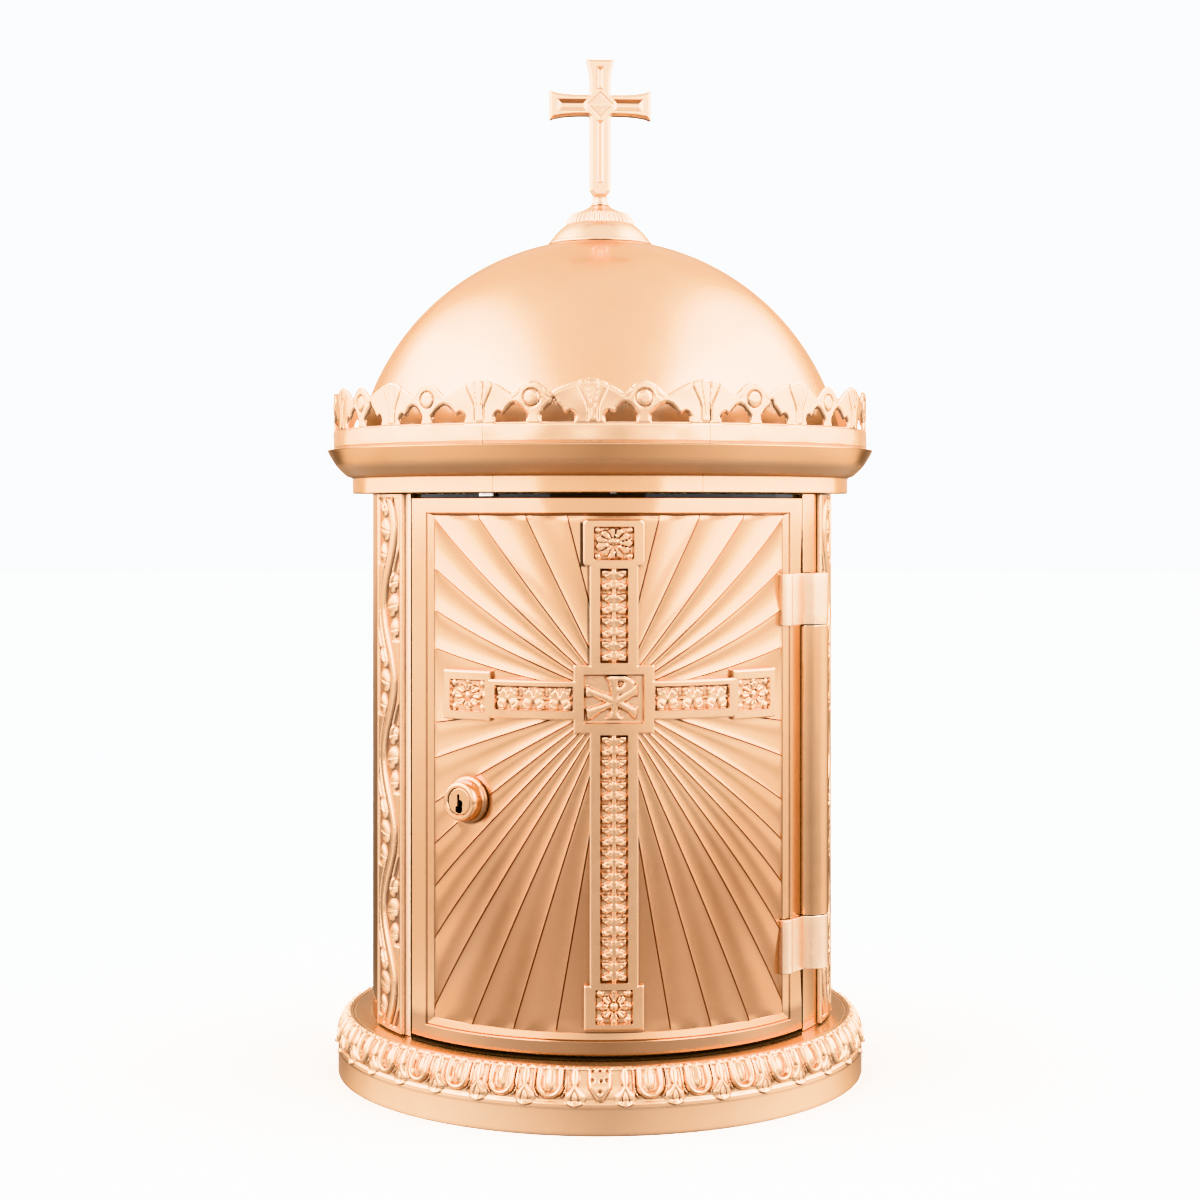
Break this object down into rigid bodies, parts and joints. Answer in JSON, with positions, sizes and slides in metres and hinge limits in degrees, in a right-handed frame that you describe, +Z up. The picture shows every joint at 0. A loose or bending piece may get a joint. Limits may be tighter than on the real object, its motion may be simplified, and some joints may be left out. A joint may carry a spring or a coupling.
{
  "type": "altar tabernacle",
  "caption": "Round domed altar tabernacle with a curved hinged door, cam lock, sunburst panel, moulded base and cornice, pierced crest and cross finial.",
  "frame": {"origin": "on the axis of the drum, at the underside of the base", "axes": "+Z up; the door faces -Y; +X is to the viewer's right, on the hinge side"},
  "size_m": [0.2708, 0.2708, 0.501],
  "materials": {
    "polished_brass": "polished, rose-gold lacquered brass",
    "satin_brass": "satin, rose-gold lacquered brass",
    "inner_brass": "satin gilt brass inside",
    "steel": "brushed"
  },
  "bodies": {
    "body": {"base_ring": "polished_brass", "base_plate": "satin_brass", "base_screw_1": "steel", "base_screw_2": "steel", "base_screw_3": "steel", "base_screw_4": "steel", "floor_plate": "inner_brass", "drum_shell": "polished_brass", "jamb_stop_left": "inner_brass", "jamb_stop_right": "inner_brass", "pilaster_left": "polished_brass", "pilaster_right": "polished_brass", "strike_plate": "steel", "strike_screw_1": "steel", "strike_screw_2": "steel", "ceiling_plate": "inner_brass", "ceiling_screw_1": "steel", "ceiling_screw_2": "steel", "ceiling_screw_3": "steel", "ceiling_screw_4": "steel", "cornice_ring": "polished_brass", "crest_panel_1": "satin_brass", "crest_panel_2": "satin_brass", "crest_panel_3": "satin_brass", "crest_panel_4": "satin_brass", "crest_panel_5": "satin_brass", "crest_panel_6": "satin_brass", "crest_panel_7": "satin_brass", "crest_panel_8": "satin_brass", "dome_shell": "satin_brass", "finial_cap": "polished_brass", "finial_collar": "polished_brass", "cross": "polished_brass", "finial_washer": "steel", "finial_nut": "steel", "hinge_post": "polished_brass", "hinge_pin": "steel"},
    "door": {"door_frame": "polished_brass", "door_panel": "satin_brass", "door_cross": "polished_brass", "door_back_plate": "inner_brass", "hinge_knuckle_lower": "polished_brass", "hinge_knuckle_upper": "polished_brass", "hinge_screw_1": "steel", "hinge_screw_2": "steel", "hinge_screw_3": "steel", "hinge_screw_4": "steel", "lock_housing": "polished_brass", "lock_nut": "steel"},
    "lock": {"lock_plug": "polished_brass", "lock_cam": "steel", "cam_screw": "steel"}
  },
  "joints": [
    {"name": "door_hinge", "type": "hinge", "parent": "body", "child": "door", "pos_m": [0.09635, -0.05904, 0.153], "axis": [0, 0, 1], "range_deg": [0, 110]},
    {"name": "lock_turn", "type": "hinge", "parent": "door", "child": "lock", "pos_m": [-0.06594, -0.09177, 0.1438], "axis": [0.5835, 0.8121, 0], "range_deg": [0, 90]}
  ]
}
